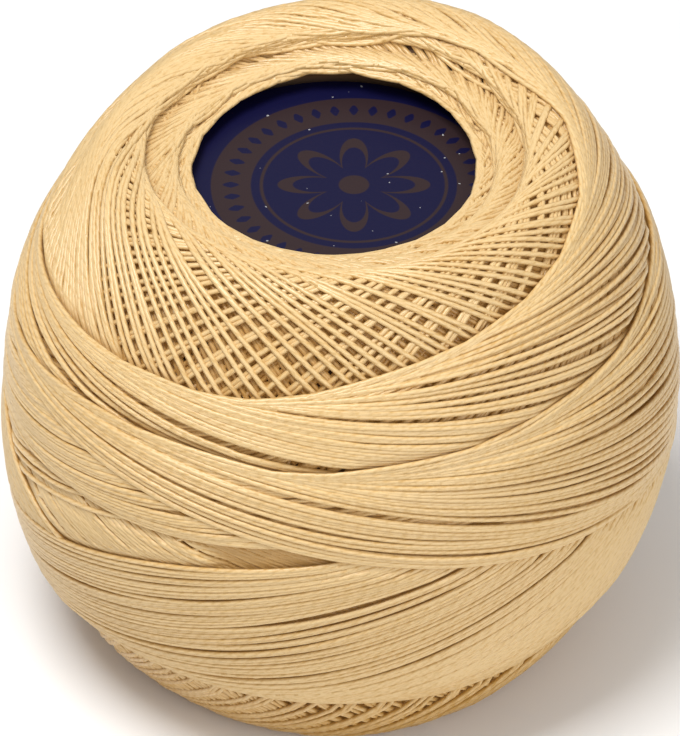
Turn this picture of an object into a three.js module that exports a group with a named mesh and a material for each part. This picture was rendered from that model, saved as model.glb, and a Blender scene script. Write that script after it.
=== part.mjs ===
// A machine-wound ball of fine crochet thread, standing on one end, with a round card label held in
// the shallow hole of its upper end. Millimetres, +Z up. The origin is on the ball's axis, in the
// plane that the ball stands on. Azimuth 0 is the front, on -Y, and a quarter turn is the +X side.
import * as THREE from "three";

// Driving dimensions of the wound ball. The layers on the first ones bring it to 36 across.
const FIRST_BELLY_RADIUS = 17.65;
const STANDING_HEIGHT = 14.75;    // from the flat ring it stands on up to the middle of the belly
const CREST_HEIGHT = 14.9;        // from the middle of the belly up to an end's crest
const CREST_RADIUS = 11.6;        // the ring where an end is highest
const SIDE_HALF_HEIGHT = 20;      // where the side's curve would close, if the ends didn't cut it
const SIDE_POWER = 2.1;           // 2 is an ellipse, more is squarer
const SHOULDER_SHARPNESS = 24;    // how quickly the side turns into the end
const END_DISH = 2.9;             // how far the end would fall from its crest to the axis
const END_DISH_POWER = 1.3;
const FLAT_RING = { inner: 10.7, outer: 12.4 };   // pressed flat by the surface it stands on
const DIMPLE_DEPTH = 1.8;         // of the hollow in the lower end

// Driving dimensions of the hole in the upper end and the label in it
const HOLE_RADIUS = 7.6;
const LIP_ROUND = 0.45;           // round of the rope of threads at the hole's edge
const LABEL_RADIUS = 9.0;         // its rim goes under the threads
const LABEL_THICKNESS = 0.35;
const LABEL_DEPTH = 1.15;         // from the hole's edge down to the label's face
const CLEARANCE = 0.3;

// Fineness of the ball's surface
const STEPS_AROUND = 96;
const STEPS_UP_SIDE = 50;
const STEPS_ACROSS_DIMPLE = 4;

// Each family of windings stops at a tilted ring, where the surface steps. latitude is the ring's, in
// degrees as seen from the middle of the belly, and it rises by tilt towards the azimuth highAt. rise
// is how much the surface stands out below the ring, and width is the step's, in degrees.
const WINDING_EDGES = [
  { name: "crown edge",      latitude: 43.5,  tilt: 12,  highAt: 145, rise: 0.35,  width: 4 },
  { name: "upper belt edge", latitude: 25.5,  tilt: 6.5, highAt: 185, rise: 0.25,  width: 4 },
  { name: "belly belt edge", latitude: 1,     tilt: 4,   highAt: 60,  rise: 0.10,  width: 4 },
  { name: "belly belt foot", latitude: -29.5, tilt: 1.5, highAt: 0,   rise: -0.45, width: 4 },
];

// Broad high and low places, as a ball wound at speed has. azimuth is in degrees, height is from the
// middle of the belly, and rise is how far the surface stands out there.
const UNEVEN_PLACES = [
  { azimuth: 150,  height: 13.5,  rise: 0.80 },
  { azimuth: -115, height: 10,    rise: -0.80 },
  { azimuth: -92,  height: 1,     rise: -0.55 },
  { azimuth: -70,  height: -7.5,  rise: 0.20 },
  { azimuth: 0,    height: -11.5, rise: 0.45 },
  { azimuth: 60,   height: -9,    rise: -0.25 },
];
const UNEVEN_SPREAD = 5.5;

// Main twists, which show as soft ridges. Over the crown they swirl off a ring round the hole.
const CROWN_TWISTS = 16;
const CROWN_TWIST_RING = 54;      // latitude of the ring that they leave, in degrees
const CROWN_TWIST_RELIEF = 0.1;

// Round the belts they run a little out of level, highest at the azimuth highAt
const BELT_TWISTS = [
  { from: 2,   to: 40, pitch: 3.2, tilt: 2.6, highAt: -80, relief: 0.07 },
  { from: -28, to: 0,  pitch: 3.0, tilt: 3.0, highAt: 75,  relief: 0.06 },
];
const BELT_TWIST_FADE = 5;        // degrees of latitude

const degrees = THREE.MathUtils.degToRad;
const inDegrees = THREE.MathUtils.radToDeg;
const smoothStep = (x) => THREE.MathUtils.smoothstep(x, 0, 1);

// Height of an end's surface over the middle of the belly, a shallow dish inside its crest
function endHeight(radius) {
  const inside = 1 - Math.min(radius / CREST_RADIUS, 1) ** 2;
  return CREST_HEIGHT - END_DISH * inside ** END_DISH_POWER;
}

// Smooth profile at an angle from -90 degrees, the lower end's axis, to 90: a superellipse side that
// runs into the dished ends
function smoothProfile(angle) {
  const radius = FIRST_BELLY_RADIUS * Math.cos(angle) ** (2 / SIDE_POWER);
  const side = Math.max(SIDE_HALF_HEIGHT * Math.abs(Math.sin(angle)) ** (2 / SIDE_POWER), 0.001);
  const end = endHeight(radius);
  const blended = (side ** -SHOULDER_SHARPNESS + end ** -SHOULDER_SHARPNESS) ** (-1 / SHOULDER_SHARPNESS);
  return new THREE.Vector2(radius, Math.sign(angle) * blended);
}

// Angle at which the smooth profile has a radius, above the belly
function angleOfRadius(radius) {
  return Math.acos((radius / FIRST_BELLY_RADIUS) ** (SIDE_POWER / 2));
}

// Angle at which the smooth profile has a height, found by halving
function angleOfHeight(height) {
  let low = -angleOfRadius(CREST_RADIUS);
  let high = -low;
  for (let round = 0; round < 40; round += 1) {
    const middle = (low + high) / 2;
    if (smoothProfile(middle).y < height) low = middle;
    else high = middle;
  }
  return (low + high) / 2;
}

// Outward normal of the smooth profile, in the plane of the axis
function profileNormal(angle) {
  const step = 0.0005;
  const along = smoothProfile(angle + step).sub(smoothProfile(angle - step)).normalize();
  return new THREE.Vector2(along.y, -along.x);
}

function pointOnBall(azimuth, radius, height) {
  return new THREE.Vector3(radius * Math.sin(azimuth), -radius * Math.cos(azimuth), height);
}

const unevenCentres = UNEVEN_PLACES.map((place) => {
  const onProfile = smoothProfile(angleOfHeight(place.height));
  return pointOnBall(degrees(place.azimuth), onProfile.x, onProfile.y);
});

function unevenness(point) {
  return UNEVEN_PLACES.reduce((sum, place, index) => {
    const squared = point.distanceToSquared(unevenCentres[index]);
    return sum + place.rise * Math.exp(-squared / (2 * UNEVEN_SPREAD ** 2));
  }, 0);
}

// How far below a winding edge a latitude is, as a share from 0, above its step, to 1, below it
function belowEdge(edge, azimuth, latitude) {
  const edgeLatitude = edge.latitude + edge.tilt * Math.cos(azimuth - degrees(edge.highAt));
  return smoothStep((edgeLatitude - latitude) / edge.width + 0.5);
}

function layerSteps(azimuth, latitude) {
  return WINDING_EDGES.reduce((sum, edge) => sum + edge.rise * belowEdge(edge, azimuth, latitude), 0);
}

// Ridges of the crown. Each follows a flat loop of thread that touches the ring round the hole.
function crownTwists(azimuth, latitude) {
  const ring = Math.tan(degrees(CROWN_TWIST_RING));
  const offRing = Math.acos(Math.min(Math.tan(degrees(Math.max(latitude, 0))) / ring, 1));
  const shown = (1 - belowEdge(WINDING_EDGES[0], azimuth, latitude))
    * smoothStep((CROWN_TWIST_RING - latitude) / 4);
  return CROWN_TWIST_RELIEF * shown * Math.cos(CROWN_TWISTS * (azimuth - offRing));
}

function beltTwists(azimuth, latitude, height) {
  return BELT_TWISTS.reduce((sum, belt) => {
    const shown = smoothStep((latitude - belt.from) / BELT_TWIST_FADE)
      * smoothStep((belt.to - latitude) / BELT_TWIST_FADE);
    const level = height - belt.tilt * Math.cos(azimuth - degrees(belt.highAt));
    return sum + belt.relief * shown * Math.cos((2 * Math.PI * level) / belt.pitch);
  }, 0);
}

// Point of the wound surface at an azimuth and a profile angle, over the standing plane
function woundSurface(azimuth, angle) {
  const smooth = smoothProfile(angle);
  const start = pointOnBall(azimuth, smooth.x, smooth.y);
  const latitude = inDegrees(Math.atan2(smooth.y, smooth.x));
  const relief = layerSteps(azimuth, latitude) + unevenness(start)
    + crownTwists(azimuth, latitude) + beltTwists(azimuth, latitude, smooth.y);
  const outward = profileNormal(angle).multiplyScalar(relief);
  const point = pointOnBall(azimuth, smooth.x + outward.x, smooth.y + outward.y);
  point.z = Math.max(point.z + STANDING_HEIGHT, 0);
  return point;
}

// Heights of the hole and the label over the standing plane
const lipHeight = STANDING_HEIGHT + endHeight(HOLE_RADIUS);
const labelTop = lipHeight - LABEL_DEPTH;
const labelBottom = labelTop - LABEL_THICKNESS;

// The hole below its lip: a short wall, a groove that takes the label's rim, and the floor
const HOLE_SECTION = [
  { radius: HOLE_RADIUS - LIP_ROUND * 0.3, height: lipHeight - LIP_ROUND * 0.5 },
  { radius: HOLE_RADIUS, height: labelTop + CLEARANCE },
  { radius: LABEL_RADIUS + 2 * CLEARANCE, height: labelTop + CLEARANCE },
  { radius: LABEL_RADIUS + 2 * CLEARANCE, height: labelBottom - CLEARANCE },
];

// The lower end: a plain dimple, then the flat ring that the ball stands on
function lowerEndSection() {
  const section = [];
  for (let step = 1; step <= STEPS_ACROSS_DIMPLE; step += 1) {
    const share = step / (STEPS_ACROSS_DIMPLE + 1);
    section.push({ radius: FLAT_RING.inner * share, height: DIMPLE_DEPTH * (1 - share ** 2) ** 1.3 });
  }
  section.push({ radius: FLAT_RING.inner, height: 0 }, { radius: FLAT_RING.outer, height: 0 });
  return section;
}

// Rings of the whole surface, from the lower end's axis to the floor of the hole
function surfaceRings() {
  const ring = (pointAt) => Array.from({ length: STEPS_AROUND }, (_, step) => (
    pointAt((step / STEPS_AROUND) * 2 * Math.PI)
  ));
  const level = (row) => ring((azimuth) => pointOnBall(azimuth, row.radius, row.height));
  const firstAngle = -angleOfRadius(FLAT_RING.outer + CLEARANCE);
  const lastAngle = angleOfRadius(HOLE_RADIUS);
  const rings = lowerEndSection().map(level);
  for (let step = 0; step <= STEPS_UP_SIDE; step += 1) {
    const angle = firstAngle + (step / STEPS_UP_SIDE) * (lastAngle - firstAngle);
    rings.push(ring((azimuth) => woundSurface(azimuth, angle)));
  }
  return rings.concat(HOLE_SECTION.map(level));
}

// Closed mesh through rings of equal length, with a point on the axis at each end
function meshThroughRings(rings, firstPoint, lastPoint) {
  const count = rings[0].length;
  const points = [firstPoint, ...rings.flat(), lastPoint];
  const last = points.length - 1;
  const triangles = [];
  for (let step = 0; step < count; step += 1) {
    const next = (step + 1) % count;
    triangles.push(0, 1 + next, 1 + step);
    for (let level = 0; level < rings.length - 1; level += 1) {
      const here = 1 + level * count;
      const above = here + count;
      triangles.push(here + step, here + next, above + next);
      triangles.push(here + step, above + next, above + step);
    }
    const top = 1 + (rings.length - 1) * count;
    triangles.push(top + step, top + next, last);
  }
  const geometry = new THREE.BufferGeometry().setFromPoints(points);
  geometry.setIndex(triangles);
  geometry.computeVertexNormals();
  return geometry;
}

function makeThreadBall() {
  const dimple = new THREE.Vector3(0, 0, DIMPLE_DEPTH);
  const holeFloor = new THREE.Vector3(0, 0, labelBottom - CLEARANCE);
  const cotton = new THREE.MeshStandardMaterial({ color: 0xe3c690, roughness: 0.55, metalness: 0 });
  const ball = new THREE.Mesh(meshThroughRings(surfaceRings(), dimple, holeFloor), cotton);
  ball.name = "thread_ball";
  return ball;
}

// A thin round card, its edge square
function makeEndLabel() {
  const halfThickness = LABEL_THICKNESS / 2;
  const section = [
    new THREE.Vector2(0, -halfThickness),
    new THREE.Vector2(LABEL_RADIUS, -halfThickness),
    new THREE.Vector2(LABEL_RADIUS, halfThickness),
    new THREE.Vector2(0, halfThickness),
  ];
  const disc = new THREE.LatheGeometry(section, STEPS_AROUND);
  disc.rotateX(Math.PI / 2);
  const card = new THREE.MeshStandardMaterial({ color: 0x17174a, roughness: 0.45, metalness: 0 });
  const label = new THREE.Mesh(disc, card);
  label.name = "end_label";
  label.position.z = labelBottom + halfThickness;
  return label;
}

const threadBall = new THREE.Group();
threadBall.add(makeThreadBall(), makeEndLabel());

export default threadBall;
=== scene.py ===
# %% [markdown]
# # A ball of crochet thread
# A machine winds fine, shiny cotton thread into a ball by laying flat loops round it, each turned a
# little from the last. The loops cross, so they lock, and every family of loops leaves a ring at
# either end that none of them crosses. The CAD frame holds the ball's solid form and the card label
# in its upper end. This script dresses the form in its turns of thread, one closed tube for each
# stretch that shows, and prints the card.
#
# The thread could also be a bump in a material, but then the open mesh would have no depth and the
# ball's edge would be smooth. Tubes give both, and cast their own shade.

# %% Load the frame
import math

import bpy
import numpy as np
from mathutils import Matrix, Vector


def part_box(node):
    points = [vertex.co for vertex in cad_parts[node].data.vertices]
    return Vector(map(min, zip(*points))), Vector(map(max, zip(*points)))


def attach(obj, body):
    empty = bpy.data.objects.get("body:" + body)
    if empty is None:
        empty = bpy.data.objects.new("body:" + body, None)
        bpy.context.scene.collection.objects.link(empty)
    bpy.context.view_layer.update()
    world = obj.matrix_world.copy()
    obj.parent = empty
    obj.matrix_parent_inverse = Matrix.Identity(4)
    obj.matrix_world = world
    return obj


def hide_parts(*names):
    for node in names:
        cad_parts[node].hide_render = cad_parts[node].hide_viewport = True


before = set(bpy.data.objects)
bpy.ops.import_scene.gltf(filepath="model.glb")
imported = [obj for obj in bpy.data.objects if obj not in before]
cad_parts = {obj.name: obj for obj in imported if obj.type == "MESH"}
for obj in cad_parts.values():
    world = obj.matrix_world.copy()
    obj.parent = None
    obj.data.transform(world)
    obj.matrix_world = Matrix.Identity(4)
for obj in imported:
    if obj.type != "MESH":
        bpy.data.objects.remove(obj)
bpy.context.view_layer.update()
MM = 0.001

# %% [markdown]
# ## The wound form
# A wound ball has a round belly, rounder shoulders and dished ends, and a low step where each family
# of turns stops. The turns could be laid on the frame's mesh by casting rays at it, but its facets
# would show in a thread 0.3 mm thick. So the form is worked out again from the same sizes, in
# millimetres. Azimuth 0 is the front, on -Y, and a quarter turn is the +X side. Latitude is the
# angle seen from the middle of the belly, up from level.

# %% Sizes of the wound form, in millimetres
FIRST_BELLY_RADIUS = 17.65
STANDING_HEIGHT = 14.75
CREST_HEIGHT = 14.9
CREST_RADIUS = 11.6
SIDE_HALF_HEIGHT = 20.0
SIDE_POWER = 2.1
SHOULDER_SHARPNESS = 24
END_DISH = 2.9
END_DISH_POWER = 1.3
FLAT_RING_INNER = 10.7
FLAT_RING_OUTER = 12.4
DIMPLE_DEPTH = 1.8
UNEVEN_SPREAD = 5.5

# A winding edge: latitude, tilt and the azimuth where it is highest, all in degrees, then how much
# the surface stands out below it, in millimetres, and the width of that step in degrees
WINDING_EDGES = [
    dict(latitude=59.1, tilt=0.0, high_at=90, rise=0.20, width=1.0),
    dict(latitude=55.3, tilt=0.0, high_at=0, rise=0.26, width=1.0),
    dict(latitude=49.0, tilt=0.0, high_at=0, rise=-0.41, width=14),
    dict(latitude=43.5, tilt=12.0, high_at=145, rise=0.35, width=4),
    dict(latitude=25.5, tilt=6.5, high_at=185, rise=0.25, width=4),
    dict(latitude=1.0, tilt=4.0, high_at=60, rise=0.10, width=4),
    dict(latitude=-29.5, tilt=1.5, high_at=0, rise=-0.45, width=4),
]

HOLE_SINK = 0.05    # how far the inner edge of the hole lies under the solid's surface

# Grooves between the bands round the hole: deepest at one azimuth, and gone opposite it if one-sided
GROOVES = [
    dict(latitude=59.2, depth=0.32, width=0.8, deepest_at=100, one_sided=1.0),
    dict(latitude=55.6, depth=0.32, width=0.9, deepest_at=140, one_sided=0.4),
]

# Broad swells and hollows of the side: azimuth in degrees, height over the belly and rise
UNEVEN_PLACES = [
    dict(azimuth=150, height=13.5, rise=0.80),
    dict(azimuth=-115, height=10.0, rise=-0.80),
    dict(azimuth=-92, height=1.0, rise=-0.55),
    dict(azimuth=-70, height=-7.5, rise=0.20),
    dict(azimuth=0, height=-11.5, rise=0.45),
    dict(azimuth=60, height=-9.0, rise=-0.25),
]

# %% [markdown]
# The smooth profile is the ball's outline without its steps. Blender could spin it into a surface,
# but the threads need points on it and not faces. So it is kept as a row of points from the lower
# axis to past the hole's lip. A thread knows the direction in which it lies from the middle of the
# belly, and numpy's `interp` reads the row by latitude for whole arrays at once.

# %% The smooth profile, read by latitude
DIMPLE_POWER = 1.3
DIMPLE_POINTS, SIDE_POINTS = 60, 600
INNERMOST_RADIUS = 5.0      # past the lip, where no thread lies
NORMAL_SMOOTHING = 15       # points that each normal is averaged over


def smooth_step(x):
    """0 below 0, 1 above 1, and between them 3 x squared less 2 x cubed."""
    x = np.clip(x, 0, 1)
    return x * x * (3 - 2 * x)


def end_height(radius):
    """Height of an end over the belly's middle: a crest, less a dish that deepens to the axis."""
    inside = 1 - np.minimum(radius / CREST_RADIUS, 1) ** 2
    return CREST_HEIGHT - END_DISH * inside ** END_DISH_POWER


def side_point(angle):
    """Radius and height of a superellipse side that runs into the dished ends, at an angle from
    the belly. The two heights are joined as the power mean of a large negative power."""
    radius = FIRST_BELLY_RADIUS * np.cos(angle) ** (2 / SIDE_POWER)
    side = np.maximum(SIDE_HALF_HEIGHT * np.abs(np.sin(angle)) ** (2 / SIDE_POWER), 0.001)
    joined = side ** -SHOULDER_SHARPNESS + end_height(radius) ** -SHOULDER_SHARPNESS
    return radius, np.sign(angle) * joined ** (-1 / SHOULDER_SHARPNESS)


def angle_of_radius(radius):
    """The side's angle at a radius: the superellipse's first formula turned round."""
    return math.acos((radius / FIRST_BELLY_RADIUS) ** (SIDE_POWER / 2))


def profile_points():
    """Points from the lower axis to past the hole's lip: the dimple, whose depth falls with the
    square of the radius, then the flat ring and the side."""
    share = np.linspace(0, 1, DIMPLE_POINTS)
    dimple_height = DIMPLE_DEPTH * (1 - share ** 2) ** DIMPLE_POWER - STANDING_HEIGHT
    dimple = np.c_[FLAT_RING_INNER * share, dimple_height]
    first, last = -angle_of_radius(FLAT_RING_OUTER + 0.3), angle_of_radius(INNERMOST_RADIUS)
    radius, height = side_point(np.linspace(first, last, SIDE_POINTS))
    return np.r_[dimple, np.c_[radius, np.maximum(height, -STANDING_HEIGHT)]]


points = profile_points()
PROFILE_LATITUDE = np.arctan2(points[:, 1], points[:, 0])
along = np.gradient(points, axis=0)
along /= np.linalg.norm(along, axis=1)[:, None]


def running_mean(column):
    """Each value's mean with its neighbours, the end values repeated past the ends."""
    padded = np.pad(column, NORMAL_SMOOTHING // 2, "edge")
    return np.convolve(padded, np.ones(NORMAL_SMOOTHING) / NORMAL_SMOOTHING, "valid")


# the outward normal is the way along the profile, turned a quarter turn
outward = np.c_[running_mean(along[:, 1]), running_mean(-along[:, 0])]
print("profile from latitude %.1f to %.1f degrees" % tuple(np.degrees(PROFILE_LATITUDE[[0, -1]])))


def profile_at(latitude):
    """The radius and the height, then the normal's part away from the axis and its part up, each
    interpolated by latitude."""
    columns = (points[:, 0], points[:, 1], outward[:, 0], outward[:, 1])
    return [np.interp(latitude, PROFILE_LATITUDE, column) for column in columns]


# %% [markdown]
# On the real ball the last families of turns stand a little proud of those before, and the side is
# pressed in here and there. Sculpting could make that too, but a row of numbers for each place is
# easier to measure and to change. So the relief is a sum of smooth steps, grooves and swells, each
# with its own row above.

# %% The surface's relief
RISING_POINTS = 400     # the stretch of the side that only rises


def uneven_centre(place):
    """The point on the side at a place's azimuth and height, found by interpolation up the side."""
    rising = points[DIMPLE_POINTS:DIMPLE_POINTS + RISING_POINTS]
    radius = np.interp(place["height"], rising[:, 1], rising[:, 0])
    azimuth = math.radians(place["azimuth"])
    return np.array([radius * math.sin(azimuth), -radius * math.cos(azimuth), place["height"]])


def relief(azimuth, latitude, smooth_points):
    """How far the last layer stands off the smooth profile: the sum of the steps below each
    winding edge, less a bell curve across each groove, and a bell curve about each uneven place."""
    degrees = np.degrees(latitude)
    total = np.full(azimuth.shape, -HOLE_SINK)
    for edge in WINDING_EDGES:
        ring = edge["latitude"] + edge["tilt"] * np.cos(azimuth - math.radians(edge["high_at"]))
        total += edge["rise"] * smooth_step((ring - degrees) / edge["width"] + 0.5)
    for groove in GROOVES:
        across = np.exp(-((degrees - groove["latitude"]) / groove["width"]) ** 2)
        turned = np.cos(azimuth - math.radians(groove["deepest_at"]))
        total -= groove["depth"] * across * (1 - groove["one_sided"] * (1 - turned) / 2)
    for place in UNEVEN_PLACES:
        squared = ((smooth_points - uneven_centre(place)) ** 2).sum(-1)
        total += place["rise"] * np.exp(-squared / (2 * UNEVEN_SPREAD ** 2))
    return total


def on_ball(directions, depth):
    """Points at a depth under the last layer in given directions from the belly's middle, and the
    outward normals there. Both are arrays with x, y and z last, in millimetres."""
    azimuth = np.arctan2(directions[..., 0], -directions[..., 1])
    latitude = np.arcsin(np.clip(directions[..., 2], -1, 1))
    radius, height, normal_out, normal_up = profile_at(latitude)
    sine, cosine = np.sin(azimuth), -np.cos(azimuth)
    smooth = np.stack([radius * sine, radius * cosine, height], -1)
    normal = np.stack([normal_out * sine, normal_out * cosine, normal_up], -1)
    stand = relief(azimuth, latitude, smooth) - depth
    return smooth + normal * stand[..., None], normal


# %% [markdown]
# ## How the thread is wound
# One turn of thread is a flat loop: it touches a ring near the upper end at one azimuth, its summit,
# and a ring near the lower end on the other side. The winder turns the summit steadily round the
# ball, and lowers the rings from time to time, which makes the belts. What was wound last lies on
# top. Each thread could be drawn by hand as a curve, but the pattern comes from the winding, so the
# winding is what is written down: a table of families, in the order in which they are wound, gives
# the swirl over the crown, the open mesh and the belts.

# %% The families of turns
THREAD_RADIUS = 0.15

# way gives the azimuth of the summit, the latitudes of the upper and the lower ring in degrees, and
# how far the ball has grown in millimetres, at the points between which the winder moves evenly.
# turns counts the loops, in all or for each stretch between two points. dive is how far a loop goes
# down where it runs under others, in its upper and in its lower half. stray is the spread of a
# loop's rings in degrees, and uneven that of its summit in steps from loop to loop. Loops whose
# summits lie in the gaps are left out, and those in the bunched stretch lie closer in threes.
FAMILIES = [
    dict(name="hole_rope_turns", turns=[130], dive=(0.25, 0.25), stray=0.12, uneven=0.2,
         way=[(180, 58.8, -60, 0), (90, 61.0, -60, 0), (0, 61.9, -59, 0), (-90, 60.9, -59, 0),
              (-180, 58.8, -59, 0)]),
    dict(name="hole_ring_turns", turns=[200], dive=(0.25, 0.25), stray=0.12, uneven=0.15,
         way=[(180, 58.3, -57, 0.4), (90, 58.6, -57, 0.4), (0, 58.9, -57, 0.4), (-90, 58.7, -56, 0.4),
              (-180, 58.3, -56, 0.4)]),
    dict(name="under_belt_turns", turns=[150], dive=(0.25, 0.25), stray=0.20, uneven=0.2,
         way=[(180, 18, -24, 0.7), (-180, 17, -24, 0.7)]),
    dict(name="crown_turns", turns=[44, 26, 18, 15, 38], dive=(0.18, 0.30), stray=0.20, uneven=0.18,
         bunched=(60, 175), gaps=[(-143.6, -142.0), (-136.2, -134.9)],
         way=[(180, 55.2, -54, 1.1), (60, 55.2, -54, 1.1), (-30, 55, -54, 1.1), (-95, 55, -53, 1.1),
              (-130, 54.3, -53, 1.2), (-180, 54.8, -53, 1.3)]),
    dict(name="wedge_turns", turns=[84], dive=(0.0, 0.0), stray=0.12, uneven=0.12,
         gaps=[(-123.4, -121.6), (-108.9, -107.1), (-98.4, -96.6)],
         way=[(-60, 17, -20, 1.73), (-170, 18, -20, 1.77)]),
    dict(name="upper_belt_turns", turns=[38, 38, 24, 26], dive=(0.12, 0.12), stray=0.25, uneven=0.3,
         way=[(240, 55, -28, 1.3), (180, 55.2, -28, 1.35), (128, 52.9, -26, 1.6), (88, 46.7, -22, 1.65),
              (22, 36, -12, 1.7)]),
    dict(name="front_belt_turns", turns=[46], dive=(0.10, 0.10), stray=0.30, uneven=0.35,
         way=[(65, 43, -4, 1.8), (45, 40.2, -3, 1.8), (22, 35.2, -1, 1.85), (2, 32.7, 0, 1.9),
              (-27, 31, 6, 1.95), (-47, 31, 11, 2.0), (-85, 31, 16, 2.05), (-120, 29, 14, 2.1)]),
    dict(name="low_belt_turns", turns=[18], dive=(0.05, 0.05), stray=0.60, uneven=0.5,
         way=[(20, 12.5, -20, 2.0), (-18, 13, -20, 2.1), (-55, 15, -10, 2.1)]),
    dict(name="belly_turns", turns=[106], dive=(0.05, 0.05), stray=0.12, uneven=0.10, gaps=[(99, 101)],
         way=[(230, 8, -33, 2.2), (200, 8, -29, 2.2), (182, 8, -26.4, 2.25), (160, 8, -28, 2.3),
              (130, 8, -30, 2.35), (26, 7, -30, 2.5)]),
    dict(name="middle_belt_turns", turns=[10, 2, 18, 5, 12, 11, 8, 9, 8], dive=(0.10, 0.10),
         stray=0.35, uneven=0.4,
         way=[(-120, 29, 14, 2.3), (-180, 26.5, 10, 2.4), (-190, 26, 8, 2.4), (-286, 24.4, 3, 2.6),
              (-310, 23, 1, 2.65), (-355, 20.7, -2, 2.7), (-380, 21, -13, 2.75), (-400, 22.3, -16, 2.8),
              (-422, 18.5, -10, 2.85), (-445, 17, -7, 2.9)]),
]
THREES_SHIFT = 0.42     # how far the outer two of three bunched loops move towards the middle one


def family_loops(family, rng):
    """The upper and lower rings and the summits of a family's loops, in radians, and the ball's
    growth at which each is laid, in millimetres: all interpolated along the family's way, with
    normal deviates added."""
    summit, upper, lower, grown = np.array(family["way"], float).T
    stretches, turns = family["turns"], sum(family["turns"])
    ends = summit if len(stretches) > 1 else summit[[0, -1]]
    at = np.interp(np.arange(turns) + 0.5, np.r_[0, np.cumsum(stretches)], ends)
    step = np.abs(np.gradient(at))
    upper = np.interp(-at, -summit, upper) + rng.normal(size=turns) * family["stray"]
    lower = np.interp(-at, -summit, lower) + rng.normal(size=turns) * family["stray"]
    low, high = family.get("bunched", (0, 0))
    threes = np.where((at > low) & (at < high), (np.arange(turns) % 3 - 1) * THREES_SHIFT, 0)
    moved = at + step * (threes + rng.normal(size=turns) * family["uneven"])
    kept = np.ones(turns, bool)
    for first, last in family.get("gaps", []):
        kept &= (moved < first) | (moved > last)
    return [np.radians(v[kept]) for v in (upper, lower, moved)], np.interp(-at, -summit, grown)[kept]


# %% [markdown]
# A loop on the real ball lies in a plane, pulled straight by its own tension. A curve object could
# be bent to that, one for each turn, but a formula gives a thousand turns at once: a flat loop is a
# circle on a ball of radius one, its plane tipped by half the angle between the two rings, and moved
# along its own normal by the latitude midway between them.

# %% Directions round each loop
POINTS_ROUND = 112      # points of a made loop
MAP_POINTS = 400        # points of a loop while the ball is mapped
WAVE_COUNTS = np.array([2, 3, 5, 9])
WAVE_SIZES = np.radians([0.20, 0.15, 0.10, 0.05])


def wandering(rng, turns):
    """Sizes and phases of small slow waves along each loop: a thread never lies quite straight."""
    size = rng.normal(size=(turns, 4)) * WAVE_SIZES
    return np.stack([size, rng.uniform(0, 2 * np.pi, size=(turns, 4))], -1)


def loop_directions(count, waves, upper, lower, summit):
    """Unit directions, loops by points by three. With p the tip and q the shift of a loop's plane,
    a point at angle t from the summit has the parts cos t cos p cos q - sin p sin q towards the
    summit, sin t cos q a quarter turn on, and cos t sin p cos q + cos p sin q up. Waves move q."""
    t = np.arange(count) * 2 * np.pi / count
    wander = (waves[..., 0, None] * np.sin(WAVE_COUNTS[:, None] * t + waves[..., 1, None])).sum(1)
    tip = ((upper - lower) / 2)[:, None]
    shift = ((upper + lower) / 2)[:, None] + wander
    towards = np.cos(t) * np.cos(tip) * np.cos(shift) - np.sin(tip) * np.sin(shift)
    quarter = np.sin(t) * np.cos(shift)
    up = np.cos(t) * np.sin(tip) * np.cos(shift) + np.cos(tip) * np.sin(shift)
    sine, cosine = np.sin(summit)[:, None], np.cos(summit)[:, None]
    x = towards * sine + quarter * cosine
    y = -towards * cosine + quarter * sine
    return np.stack([x, y, up], -1)


# %% [markdown]
# ## Which thread lies on top
# The ball grows while it is wound, so what is wound last lies on top. The summit moves backwards
# round the ball, so in the upper half the falling part of each loop crosses over the rising parts of
# the loops before it, and in the lower half it is the other way round. A cloth or rope simulation
# could settle a few threads on each other, but not a thousand. So a point's height is simply the
# ball's growth when it was laid, less its dive under the others.
#
# A map of the ball, in cells of latitude and azimuth, keeps the greatest height in each cell. Taking
# twice the greatest and twice the least of the nine cells about each one fills the gaps between
# threads, and their mean softens it. A point's depth is the map's height less its own. A second map
# keeps the fifteenth greatest height: what lies below it doesn't show.

# %% Cells and heights
MAP_ROWS, MAP_COLUMNS = 180, 360
rng = np.random.default_rng(7)


def map_cell(directions, rows, columns):
    """The row and column of the cell in which each direction lies."""
    row = (np.arcsin(np.clip(directions[..., 2], -1, 1)) / np.pi + 0.5) * rows
    column = (np.arctan2(directions[..., 0], -directions[..., 1]) / (2 * np.pi)) * columns
    return np.clip(row.astype(int), 0, rows - 1), np.floor(column).astype(int) % columns


def around_cells(field):
    """Nine copies of a map, shifted so that each cell meets itself and its eight neighbours. The map
    is cyclic in azimuth, and its first and last rows repeat in latitude."""
    rows = np.pad(field, ((1, 1), (0, 0)), "edge")
    count = len(field)
    return [np.roll(rows[1 + r:1 + r + count], c, axis=1) for r in (-1, 0, 1) for c in (-1, 0, 1)]


def point_heights(grown, dives, count):
    """The height of each point of a loop: its growth less the dive times half of one less s, where s
    is the sine of twice the angle from the summit, drawn towards 1 and -1 by a square root. The two
    dives are those in the upper and in the lower half of the loop."""
    t = np.arange(count) * 2 * np.pi / count
    wave = np.sin(2 * t)
    dive = np.where(np.cos(t) > 0, *dives)
    return grown[:, None] - dive * (1 - np.sign(wave) * np.sqrt(np.abs(wave))) / 2


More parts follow.
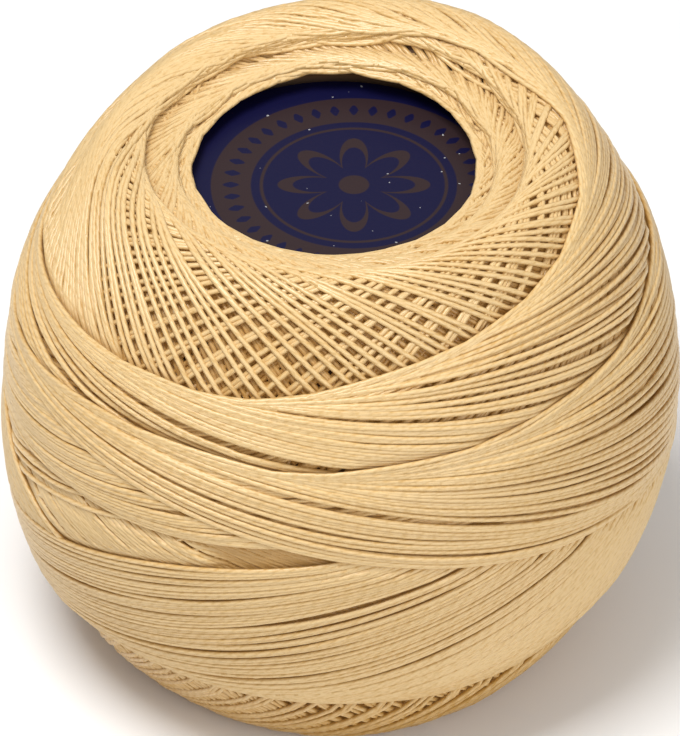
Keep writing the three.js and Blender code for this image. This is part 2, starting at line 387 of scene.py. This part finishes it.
# %% Wind the ball and map its last layer
UNWOUND = -1.0      # the height of a cell that no loop has crossed
CELL_CODE = 10000   # a cell and a loop are one number: the cell times this, plus the loop
laid = []
height_map = np.full((MAP_ROWS, MAP_COLUMNS), UNWOUND)
cells_crossed, heights_there = [], []
loops_before = 0
for family in FAMILIES:
    rings, grown = family_loops(family, rng)
    turns = len(grown)
    waves = wandering(rng, turns)
    fine = loop_directions(MAP_POINTS, waves, *rings)
    heights = point_heights(grown, family["dive"], MAP_POINTS)
    np.maximum.at(height_map, map_cell(fine, MAP_ROWS, MAP_COLUMNS), heights)
    row, column = map_cell(fine, MAP_ROWS // 2, MAP_COLUMNS // 2)
    loop = loops_before + np.arange(turns)[:, None]
    cells_crossed.append(((row * (MAP_COLUMNS // 2) + column) * CELL_CODE + loop).ravel())
    heights_there.append(heights.ravel())
    laid.append((family, loop_directions(POINTS_ROUND, waves, *rings),
                 point_heights(grown, family["dive"], POINTS_ROUND)))
    loops_before += turns
for fill in (np.max, np.max, np.min, np.min, np.mean):
    height_map = fill(around_cells(height_map), axis=0)

print("%d turns, heights in the map from %.2f to %.2f mm" % (
    loops_before, height_map.min(), height_map.max()))

# %% [markdown]
# The second map is coarser, with cells two degrees wide. A loop is counted once in each cell that it
# crosses, with its greatest height there. The pairs of cell and loop are sorted by cell and then by
# height, so that a cell's fifteenth greatest height is found by its place in the row.

# %% Map what is too deep to show
LOOPS_SHOWN = 15
EVERYTHING_SHOWS = -9.0

pairs, which = np.unique(np.concatenate(cells_crossed), return_inverse=True)
best = np.full(len(pairs), EVERYTHING_SHOWS)
np.maximum.at(best, which, np.concatenate(heights_there))
order = np.lexsort((best, pairs // CELL_CODE))
cell_of_pair, best = pairs[order] // CELL_CODE, best[order]
cell_ids = np.arange(MAP_ROWS * MAP_COLUMNS // 4)
start = np.searchsorted(cell_of_pair, cell_ids, "left")
end = np.searchsorted(cell_of_pair, cell_ids, "right")
enough = end - start > LOOPS_SHOWN
lowest_shown = np.where(enough, best[np.where(enough, end - LOOPS_SHOWN, 0)], EVERYTHING_SHOWS)
lowest_shown = np.min(around_cells(lowest_shown.reshape(MAP_ROWS // 2, -1)), axis=0)
print("cells with more than %d loops: %d of %d" % (LOOPS_SHOWN, enough.sum(), len(enough)))


def height_at(directions):
    """The map's height in given directions: the mean of the four nearest cells, each weighted by how
    near it is in latitude and in azimuth."""
    row = (np.arcsin(np.clip(directions[..., 2], -1, 1)) / np.pi + 0.5) * MAP_ROWS - 0.5
    column = (np.arctan2(directions[..., 0], -directions[..., 1]) / (2 * np.pi)) * MAP_COLUMNS - 0.5
    row = np.clip(row, 0, MAP_ROWS - 1.001)
    r0, c0 = np.floor(row).astype(int), np.floor(column).astype(int)
    fr, fc = row - r0, column - c0
    c0, c1 = c0 % MAP_COLUMNS, (c0 + 1) % MAP_COLUMNS
    low = height_map[r0, c0] * (1 - fc) + height_map[r0, c1] * fc
    high = height_map[r0 + 1, c0] * (1 - fc) + height_map[r0 + 1, c1] * fc
    return low * (1 - fr) + high * fr


# %% [markdown]
# ## From directions to closed tubes
# A thread is round and 0.3 mm thick. A curve with a bevel makes such a tube too, but can't leave out
# the stretches that are covered, and a thousand curves are slow. So the tubes are made as one mesh
# for each family. A thread that lies deep is covered by others, so only the stretches near the
# surface are made, each a tube of five sides with a flat face at both ends. The tubes' UV map runs
# in millimetres along the thread and once round it, for the twist of its plies.

# %% Make a mesh object
def make_mesh(name, vertices, faces_by_size, uv=None, values=None):
    """A mesh object from vertices in millimetres and lists of equal-sided faces. Faces of three and
    four sides are shaded smooth, and those of more sides, a tube's ends, flat."""
    mesh = bpy.data.meshes.new(name)
    corners = np.concatenate([f.ravel() for f in faces_by_size])
    sizes = np.concatenate([np.full(len(f), f.shape[1]) for f in faces_by_size])
    starts = np.concatenate([[0], np.cumsum(sizes)[:-1]])
    mesh.vertices.add(len(vertices))
    mesh.vertices.foreach_set("co", (vertices * MM).astype(np.float32).ravel())
    mesh.loops.add(len(corners))
    mesh.loops.foreach_set("vertex_index", corners.astype(np.int32))
    mesh.polygons.add(len(sizes))
    mesh.polygons.foreach_set("loop_start", starts.astype(np.int32))
    mesh.update(calc_edges=True)
    mesh.validate()
    mesh.polygons.foreach_set("use_smooth", sizes <= 4)
    if uv is not None:
        layer = mesh.uv_layers.new(name="thread")
        layer.data.foreach_set("uv", uv.astype(np.float32).ravel())
    for key, numbers in (values or {}).items():
        attribute = mesh.attributes.new(key, "FLOAT", "POINT")
        attribute.data.foreach_set("value", numbers.astype(np.float32))
    obj = bpy.data.objects.new(name, mesh)
    bpy.context.scene.collection.objects.link(obj)
    return obj


# %% Make a family's tubes
SIDES = 5
FLOOR_CLEARANCE = 0.005     # millimetres, so that no thread lies in the plane of the floor


def thread_tubes(name, directions, depth, shown, tone):
    """Closed tubes along the shown stretches of loops. A ring's corner k is the thread's middle plus
    its radius times the cosine of k sides' angle outward and the sine of it sideways."""
    turns, count = depth.shape
    middle, normal = on_ball(directions, depth + THREAD_RADIUS)
    middle[..., 2] = np.maximum(middle[..., 2], THREAD_RADIUS - STANDING_HEIGHT)
    along = np.roll(middle, -1, 1) - np.roll(middle, 1, 1)
    along /= np.linalg.norm(along, axis=-1, keepdims=True)
    side = np.cross(along, normal)
    side /= np.linalg.norm(side, axis=-1, keepdims=True)
    lift = np.cross(side, along)
    corner = np.arange(SIDES) * 2 * np.pi / SIDES
    rings = (middle[:, :, None] + THREAD_RADIUS * (
        np.cos(corner)[:, None] * lift[:, :, None] + np.sin(corner)[:, None] * side[:, :, None]))
    rings[..., 2] += STANDING_HEIGHT
    rings[..., 2] = np.maximum(rings[..., 2], FLOOR_CLEARANCE)
    index = np.arange(turns * count * SIDES).reshape(turns, count, SIDES)
    ahead = np.roll(index, -1, axis=1)
    joined = shown & np.roll(shown, -1, axis=1)
    quads = np.stack([index, np.roll(index, -1, axis=2), np.roll(ahead, -1, axis=2), ahead], -1)
    quads = quads[joined].reshape(-1, 4)
    first = index[joined & ~np.roll(joined, 1, axis=1)]
    last = ahead[joined & ~np.roll(joined, -1, axis=1)][:, ::-1]
    # UV: millimetres along the loop, and the share of a turn round the thread
    step = np.linalg.norm(np.roll(middle, -1, 1) - middle, axis=-1)
    start = np.cumsum(step, axis=1) - step
    k = np.arange(SIDES)
    u0 = np.broadcast_to(start[..., None], index.shape)
    u1 = np.broadcast_to((start + step)[..., None], index.shape)
    v0, v1 = np.broadcast_to(k / SIDES, index.shape), np.broadcast_to((k + 1) / SIDES, index.shape)
    uv = np.stack([u0, v0, u0, v1, u1, v1, u1, v0], -1)[joined].reshape(-1, 2)
    cap_uv = np.zeros((first.size + last.size, 2))
    corners = np.concatenate([quads.ravel(), first.ravel(), last.ravel()])
    used, faces = np.unique(corners, return_inverse=True)
    quads = faces[:quads.size].reshape(-1, 4)
    caps = faces[quads.size:].reshape(-1, SIDES)
    values = dict(tone=np.broadcast_to(tone[:, None, None], index.shape).ravel()[used],
                  depth=np.broadcast_to(depth[:, :, None], index.shape).ravel()[used])
    groups = [quads, caps] if len(caps) else [quads]
    return make_mesh(name, rings.reshape(-1, 3)[used], groups, np.r_[uv, cap_uv], values)


# %% [markdown]
# ## Materials
# A material is a small graph of nodes. It could be drawn in the shader editor, but sums and products
# are easier to read as text. The class below wraps one socket, so that they are written as Python
# expressions, and `Finish.node` makes every other kind of node.

# %% Helpers for materials
class Wire:
    """An output socket. Python's operators on it add Math nodes."""

    def __init__(self, finish, socket):
        self.finish = finish
        self.socket = socket

    def math(self, operation, *others):
        return self.finish.math(operation, self, *others)

    def __add__(self, other):
        return self.math("ADD", other)

    def __mul__(self, other):
        return self.math("MULTIPLY", other)

    def __sub__(self, other):
        return self.math("SUBTRACT", other)

    def __rsub__(self, other):
        return self.finish.math("SUBTRACT", other, self)

    __radd__ = __add__
    __rmul__ = __mul__


class Finish:
    """A material and its node tree, with one method for every kind of node."""

    def __init__(self, name):
        self.material = bpy.data.materials.new(name)
        self.material.use_nodes = True
        self.tree = self.material.node_tree
        self.shader = self.tree.nodes["Principled BSDF"]

    def node(self, kind, settings=None, sockets=None, output=0):
        """Adds a node: its settings first, then its sockets' values or links."""
        made = self.tree.nodes.new(kind)
        for key, value in (settings or {}).items():
            setattr(made, key, value)
        for key, value in (sockets or {}).items():
            self.put(made.inputs[key], value)
        return Wire(self, made.outputs[output])

    def math(self, operation, *values):
        return self.node("ShaderNodeMath", dict(operation=operation), dict(enumerate(values)))

    def put(self, socket, value):
        """Links a wire to a socket, or sets the socket to a constant."""
        if isinstance(value, Wire):
            self.tree.links.new(value.socket, socket)
        elif socket.type == "RGBA" and len(value) == 3:
            socket.default_value = (*value, 1)
        else:
            socket.default_value = value

    def set(self, **values):
        """Puts values on the shader's own sockets, named with underscores for spaces."""
        for key, value in values.items():
            self.put(self.shader.inputs[key.replace("_", " ")], value)

    def parts(self, vector):
        split = self.node("ShaderNodeSeparateXYZ", sockets={0: vector})
        outputs = split.socket.node.outputs
        return [Wire(self, outputs[i]) for i in range(3)]

    def mix(self, share, first, second):
        sockets = {0: share, 6: first, 7: second}
        return self.node("ShaderNodeMix", dict(data_type="RGBA"), sockets, output=2)

    def noise(self, place, scale, detail):
        sockets = {"Vector": place, "Scale": scale, "Detail": detail}
        return self.node("ShaderNodeTexNoise", sockets=sockets)

    def bump(self, height, strength, distance):
        sockets = {"Strength": strength, "Distance": distance, "Height": height}
        return self.node("ShaderNodeBump", sockets=sockets)


# %% [markdown]
# ### Mercerised cotton
# The thread is two fine plies twisted together and treated so that it shines. The plies could be
# modelled, but at this scale a groove is a tenth of a millimetre wide and would double the mesh many
# times. So the colour and the bump both follow a helix: a sine of the length along the thread plus
# the way round it, with painted shade in the grooves. Each turn takes a tone of its own. Painted
# shade also darkens the flanks of each thread and the turns near the floor, and a covered turn is
# painted deep gold as painted shade, because the light that reaches it has passed between other
# threads. A very faint painted glow lifts that shade towards gold, standing for the light that goes
# through the fibres themselves.

# %% The thread's material
CREAM_LIGHT = (0.66, 0.475, 0.235)
CREAM_DEEP = (0.45, 0.25, 0.055)
PAINTED_SHADE_GOLD = (0.41, 0.22, 0.055)
# a faint painted glow, lifting the shade between threads towards gold
PAINTED_GLOW = (0.60, 0.30, 0.06)
SHEEN_TINT = (1.0, 0.9, 0.7)
PLY_PITCH = 0.85     # millimetres along the thread for one turn of the plies
FLECK_SCALE, CLOUD_SCALE = 4500.0, 160.0
# how much of the deep colour each cause brings, and what is taken off their sum; the flank and
# groove shares are painted shade, and the tone, flecks and clouds vary at random
FROM_TONE, FROM_FLANK_SHADE, FROM_GROOVE_SHADE, FROM_FLECKS, FROM_CLOUDS, TAKEN_OFF = 0.25, 0.9, 0.3, 0.9, 0.4, 0.8
# painted shade towards the floor: the deep colour's share there, and how much it falls a metre up
FROM_FLOOR_SHADE, FLOOR_SHADE_FADE = 0.8, 110.0                     # at the floor, and how much less a metre up
# painted shade: how fast covered threads turn to the painted shade gold with depth, from where, and at
# most
SHADE_PER_MM, SHADE_START, SHADE_MOST = 2.2, 0.25, 0.95     # of the gold of covered threads


def thread_finish(name, light, deep, shaded):
    """A cotton thread. The deep colour's share is a sum: a turn's own tone, painted shade on the
    flanks as one less the cosine round the thread, painted shade in the groove as a narrow sine, two
    noises and painted shade by the nearness to the floor. Then the painted shade gold of covered
    threads is mixed in by depth, and a faint painted glow is added."""
    cotton = Finish(name)
    uv = cotton.node("ShaderNodeUVMap", dict(uv_map="thread"))
    length, around, _ = cotton.parts(uv)
    helix = (length * (2 * math.pi / PLY_PITCH) + around * (4 * math.pi)).math("SINE")
    # painted shade: the colour darkens in the ply grooves; the bump follows the same grooves
    groove = (helix * 0.5 + 0.5).math("POWER", 3.0)
    # painted shade: darker towards the flanks of the thread
    flank_shade = 0.5 - (around * (2 * math.pi)).math("COSINE") * 0.5
    coordinates = cotton.node("ShaderNodeTexCoord", output=3)
    flecks = cotton.noise(coordinates, FLECK_SCALE, 2.0)
    clouds = cotton.noise(coordinates, CLOUD_SCALE, 2.0)
    tone = cotton.node("ShaderNodeAttribute", dict(attribute_name="tone"), output=2)
    depth = cotton.node("ShaderNodeAttribute", dict(attribute_name="depth"), output=2)
    # painted shade: the deep colour's share grows towards the floor
    low = (FROM_FLOOR_SHADE - cotton.parts(coordinates)[2] * FLOOR_SHADE_FADE).math("MAXIMUM", 0.0)
    share = low + tone * FROM_TONE + flank_shade * FROM_FLANK_SHADE + groove * FROM_GROOVE_SHADE
    share = share + flecks * FROM_FLECKS + clouds * FROM_CLOUDS - TAKEN_OFF
    colour = cotton.mix(share.math("MINIMUM", 1.0).math("MAXIMUM", 0.0), light, deep)
    # painted shade: covered threads are mixed towards the painted shade gold by their depth
    shade = (depth * SHADE_PER_MM - SHADE_START).math("MAXIMUM", 0.0).math("MINIMUM", SHADE_MOST)
    colour = cotton.mix(shade, colour, shaded)
    bump = cotton.bump(flecks * 0.5 - groove, 0.35, 0.00003)
    cotton.set(Base_Color=colour, Normal=bump, Roughness=0.34, Specular_IOR_Level=0.5)
    cotton.set(Sheen_Weight=0.15, Sheen_Roughness=0.4, Sheen_Tint=SHEEN_TINT)
    # painted glow: a faint emission that lifts the shade towards gold
    cotton.set(Emission_Color=PAINTED_GLOW, Emission_Strength=0.07)
    return cotton.material


cotton_material = thread_finish("mercerised cotton", CREAM_LIGHT, CREAM_DEEP, PAINTED_SHADE_GOLD)
print(cotton_material.name, "nodes:", len(cotton_material.node_tree.nodes))

# %% [markdown]
# ## The turns that show
# On the real ball a thread that runs under others lies a thread's thickness or two deeper, and packed
# layers press each other flat. The depths could be taken as they are, but then the lowest turns would
# sink out of sight between the belts. So a depth nears a deepest value and never passes it, and that
# value is smaller towards both ends, where all the turns meet. Every family becomes one piece. It
# rides on the ball's only body.

# %% Lay the families
DEEPEST_LATITUDES = (48, 55, 58.5, 60.5)
DEEPEST_TURNS = (0.75, 0.5, 0.35, 0.12)     # millimetres under the last layer, at those latitudes
DEPTH_STRAY = 0.02


def deepest_at(latitude):
    """How deep the deepest turn lies, interpolated by latitude, alike above and below."""
    return np.interp(np.abs(np.degrees(latitude)), DEEPEST_LATITUDES, DEEPEST_TURNS)


def lay_family(family, directions, heights):
    """Cuts a family's loops down to the stretches that show and makes their tubes. A depth is the
    deepest one times one less the exponential of minus its share of it, and a small stray."""
    latitude = np.arcsin(np.clip(directions[..., 2], -1, 1))
    raw = np.maximum(height_at(directions) - heights, 0)
    deepest = deepest_at(latitude)
    depth = deepest * (1 - np.exp(-raw / deepest)) + rng.normal(size=(len(raw), 1)) * DEPTH_STRAY
    shown = heights >= lowest_shown[map_cell(directions, MAP_ROWS // 2, MAP_COLUMNS // 2)]
    piece = thread_tubes(family["name"], directions, depth, shown, rng.uniform(size=len(depth)))
    piece.data.materials.append(cotton_material)
    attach(piece, "root")
    triangles = len(piece.data.loops) - 2 * len(piece.data.polygons)
    print(family["name"], "triangles:", triangles)


for family, directions, heights in laid:
    lay_family(family, directions, heights)

# %% [markdown]
# ## The wound core
# Under the turns that show lies the rest of the thread, packed tight. Every covered turn could be
# made, but nobody would see it. One closed surface stands for them all, through the middle of the
# deepest turns that are made, with the hole for the label in its upper end. It takes the place of
# the frame's own ball.

# %% The core's surface
AROUND = 144
LOWER_END_LATITUDES = np.linspace(-86, -62, 10)
SIDE_LATITUDES = np.linspace(-60, 58.4, 110)
UNDER_LIP_SCALE, UNDER_LIP_DROP = (0.985, 0.985, 1), (0, 0, 0.12)
LABEL_GAP = 0.3
low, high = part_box("end_label")
LABEL_RADIUS, LABEL_BOTTOM, LABEL_TOP = high[0] / MM, low[2] / MM, high[2] / MM
azimuths = np.arange(AROUND) * 2 * np.pi / AROUND
level_directions = np.stack([np.sin(azimuths), -np.cos(azimuths), 0 * azimuths], -1)


def ring_points(radius, height):
    """A level ring: each level direction times the radius, raised to the height."""
    return level_directions * radius + (0, 0, height)


def core_rings():
    """Rings from the lower axis to the floor of the hole. A direction on a ring is the cosine of its
    latitude times the level direction, and the sine of it up; each point lies half a thread under
    the top of the deepest turn. Then the form turns in under the lip."""
    latitudes = np.radians(np.r_[LOWER_END_LATITUDES, SIDE_LATITUDES])[:, None, None]
    directions = np.cos(latitudes) * level_directions + np.sin(latitudes) * (0, 0, 1)
    depth = (deepest_at(latitudes) + THREAD_RADIUS)[..., 0] * np.ones(AROUND)
    rings, _ = on_ball(directions, depth)
    rings[..., 2] += STANDING_HEIGHT
    under_lip = rings[-1] * UNDER_LIP_SCALE - UNDER_LIP_DROP
    wall_radius = LABEL_RADIUS + 2 * LABEL_GAP
    wall_top = ring_points(wall_radius, LABEL_TOP + 2 * LABEL_GAP)
    wall_bottom = ring_points(wall_radius, LABEL_BOTTOM - LABEL_GAP)
    return np.concatenate([rings, [under_lip, wall_top, wall_bottom]])


def closed_surface(name, rings, first, last):
    """A closed mesh through rings of equal count, with a point on the axis at each end."""
    levels, count = rings.shape[:2]
    vertices = np.r_[[first], rings.reshape(-1, 3), [last]]
    index = 1 + np.arange(levels * count).reshape(levels, count)
    on = np.roll(index, -1, axis=1)
    quads = np.stack([index[:-1], on[:-1], on[1:], index[1:]], -1).reshape(-1, 4)
    lower = np.stack([np.zeros(count, int), on[0], index[0]], -1)
    upper = np.stack([index[-1], on[-1], np.full(count, len(vertices) - 1)], -1)
    return make_mesh(name, vertices, [quads, np.r_[lower, upper]])


FIRST_POINT = (0, 0, DIMPLE_DEPTH + 0.6)
core = closed_surface("wound_core", core_rings(), FIRST_POINT, (0, 0, LABEL_BOTTOM - LABEL_GAP))
print("core faces:", len(core.data.polygons))

# %% [markdown]
# ### Packed thread
# In the gaps between turns the core is painted dark brown, a painted shade for thread where hardly
# any light falls. In the middle of the lower end nothing covers it, and there the thread is laid in
# rings on a ground of the painted shade gold. They could be more tubes, but that end stands on the
# table, so a ring pattern in the colour and the bump is enough.

# %% The core's material
# painted shade: the core's dark brown where it shows in the gaps between turns
GAP_SHADE_BROWN = (0.10, 0.045, 0.012)
BARE_RADIUS = 8.9               # of the bare middle of the lower end, in millimetres
BARE_BELOW = 6.0                # it lies below this height, in millimetres


def core_material():
    """Dark brown painted shade, and at the lower end deep cream rings a thread apart on the painted
    shade gold: the sine of the distance from the axis in thread widths, where that distance and the
    height are small enough."""
    packed = Finish("packed thread in painted shade")
    x, y, z = packed.parts(packed.node("ShaderNodeTexCoord", output=3))
    r = (x * x + y * y).math("SQRT")
    ring = (r * (2 * math.pi / (2 * THREAD_RADIUS * MM))).math("SINE") * 0.5 + 0.5
    near_axis = (BARE_RADIUS - r * 1000.0).math("MAXIMUM", 0.0).math("MINIMUM", 1.0)
    lower_end = near_axis * (z - BARE_BELOW * MM).math("LESS_THAN", 0.0)
    # painted shade: dark brown in the gaps, and the painted shade gold at the lower end
    ground = packed.mix(lower_end, GAP_SHADE_BROWN, PAINTED_SHADE_GOLD)
    colour = packed.mix(ring * lower_end, ground, CREAM_DEEP)
    packed.set(Base_Color=colour, Normal=packed.bump(ring, 0.6, 0.0001), Roughness=0.6)
    return packed.material


core.data.materials.append(core_material())
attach(core, "root")
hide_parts("thread_ball")

# %% [markdown]
# ## The printed card
# The card in the hole is navy with a dull brown print: a broad band of dots and a flower with eight
# petals. The print is ink and has no thickness, so it is a matter of colour, and no picture is
# needed: every shape is a formula of the distance r from the print's middle, in millimetres, and of
# the angle a round it. The print sits a little to one side, as prints on small cards do.

# %% The card's material
NAVY = (0.0030, 0.0030, 0.030)
PRINT_BROWN = (0.026, 0.014, 0.016)
SPECK_WHITE = (0.6, 0.6, 0.6)
PRINT_MIDDLE = 0.95                 # millimetres towards +X
BAND_INNER, BAND_OUTER = 5.4, 7.5
LINE_RADIUS, LINE_HALF_WIDTH = 4.85, 0.09
DOTS, DOT_SIZE = 40.0, 0.42
PETALS = 8.0
PETAL_ROOT, PETAL_REACH = 1.7, 2.3          # the least radius of the flower's edge, and what it gains
INSIDE_ROOT, INSIDE_REACH = 1.5, 1.7        # the same for the bare insides of the petals
HEART_RADIUS = 0.8
SPECK_SCALE, SPECK_START = 2400.0, 0.765
PAPER_SCALE = 3500.0


def inside(value):
    """1 where a value in millimetres is above 0, with an edge a fourteenth of a millimetre soft."""
    return (value * 14.0 + 0.5).math("MAXIMUM", 0.0).math("MINIMUM", 1.0)


def card_finish(name, ground, ink):
    """Ink where the band, the line, the petals or the heart are, less the dots and the petals'
    insides. A dot is where a cosine round the print is more than the way from the band's middle,
    and a petal's edge moves out and in with a cosine."""
    card = Finish(name)
    place = card.node("ShaderNodeTexCoord", output=3)
    x, y, _ = card.parts(place)
    x, y = x * 1000.0 - PRINT_MIDDLE, y * 1000.0
    r = (x * x + y * y).math("SQRT")
    a = y.math("ARCTAN2", x)
    band = inside(r - BAND_INNER) * inside(BAND_OUTER - r)
    band_middle = (BAND_INNER + BAND_OUTER) / 2
    dot = (a * DOTS).math("COSINE") * DOT_SIZE - (r - band_middle).math("ABSOLUTE")
    line = inside(LINE_HALF_WIDTH - (r - LINE_RADIUS).math("ABSOLUTE"))
    lobe = (a * (PETALS / 2)).math("COSINE").math("ABSOLUTE")
    petal = lobe * PETAL_REACH + PETAL_ROOT - r
    petal_inside = lobe * INSIDE_REACH + INSIDE_ROOT - r
    flower = inside(petal) * (1.0 - inside(petal_inside)) + inside(HEART_RADIUS - r)
    ink_share = band * (1.0 - inside(dot)) + line + flower
    speck = (card.noise(place, SPECK_SCALE, 1.0) - SPECK_START).math("GREATER_THAN", 0.0)
    colour = card.mix(ink_share.math("MINIMUM", 1.0), ground, ink)
    colour = card.mix(speck * 0.5, colour, SPECK_WHITE)
    bump = card.bump(card.noise(place, PAPER_SCALE, 1.0), 0.2, 0.00002)
    card.set(Base_Color=colour, Normal=bump, Roughness=0.45, Specular_IOR_Level=0.2)
    return card.material


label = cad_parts["end_label"]
label.data.materials.clear()
label.data.materials.append(card_finish("printed card", NAVY, PRINT_BROWN))
print("label's box in millimetres:", [[round(v / MM, 2) for v in corner] for corner in (low, high)])

# %% [markdown]
# ## Floor, light and camera
# The ball stands on a plain pale floor. One small lamp would give hard shade in every gap between
# threads, so there is a broad soft light high on the left, a weaker one low on the right, and a pale
# world all round. A long lens looks down at the photograph's angle.

# %% Stage
CAMERA_DISTANCE = 427.0
CAMERA_ELEVATION = math.radians(39)
PIXELS_PER_MM = 18.75
PHOTO_HEIGHT = 736
SENSOR = 36.0
AIM = (0.22, 0.0, 14.75)
WORLD_STRENGTH = 0.48

bpy.ops.mesh.primitive_plane_add(size=3.0)
floor = bpy.context.object
floor.name = "floor"
floor_finish = Finish("pale floor")
floor_finish.set(Base_Color=(0.86, 0.86, 0.86), Roughness=0.9)
floor.data.materials.append(floor_finish.material)

world = bpy.data.worlds.new("studio")
world.use_nodes = True
world.node_tree.nodes["Background"].inputs[0].default_value = (1.0, 1.0, 1.0, 1)
world.node_tree.nodes["Background"].inputs[1].default_value = WORLD_STRENGTH
bpy.context.scene.world = world


LIT_HEIGHT = 14.0       # the height on the ball's axis that the lamps point at


def area_light(name, place, size, power):
    """A square lamp: its place and size in millimetres, its power in watts."""
    lamp = bpy.data.lights.new(name, "AREA")
    lamp.size = size * MM
    lamp.energy = power
    holder = bpy.data.objects.new(name, lamp)
    bpy.context.scene.collection.objects.link(holder)
    holder.location = [v * MM for v in place]
    towards = Vector((0, 0, LIT_HEIGHT * MM)) - holder.location
    holder.rotation_euler = towards.to_track_quat("-Z", "Y").to_euler()


area_light("key light", (-65, -45, 270), 120, 0.68)
area_light("fill light", (150, -200, 120), 180, 0.24)

# %% Camera
camera_data = bpy.data.cameras.new("camera")
camera_data.sensor_width = SENSOR
camera_data.lens = PIXELS_PER_MM * CAMERA_DISTANCE * SENSOR / PHOTO_HEIGHT
camera_data.clip_start = 0.01
camera = bpy.data.objects.new("camera", camera_data)
bpy.context.scene.collection.objects.link(camera)
camera.location = (AIM[0] * MM, -CAMERA_DISTANCE * math.cos(CAMERA_ELEVATION) * MM,
                   (AIM[2] + CAMERA_DISTANCE * math.sin(CAMERA_ELEVATION)) * MM)
camera.rotation_euler = (math.pi / 2 - CAMERA_ELEVATION, 0, 0)
bpy.context.scene.camera = camera
bpy.context.scene.view_settings.view_transform = "Standard"
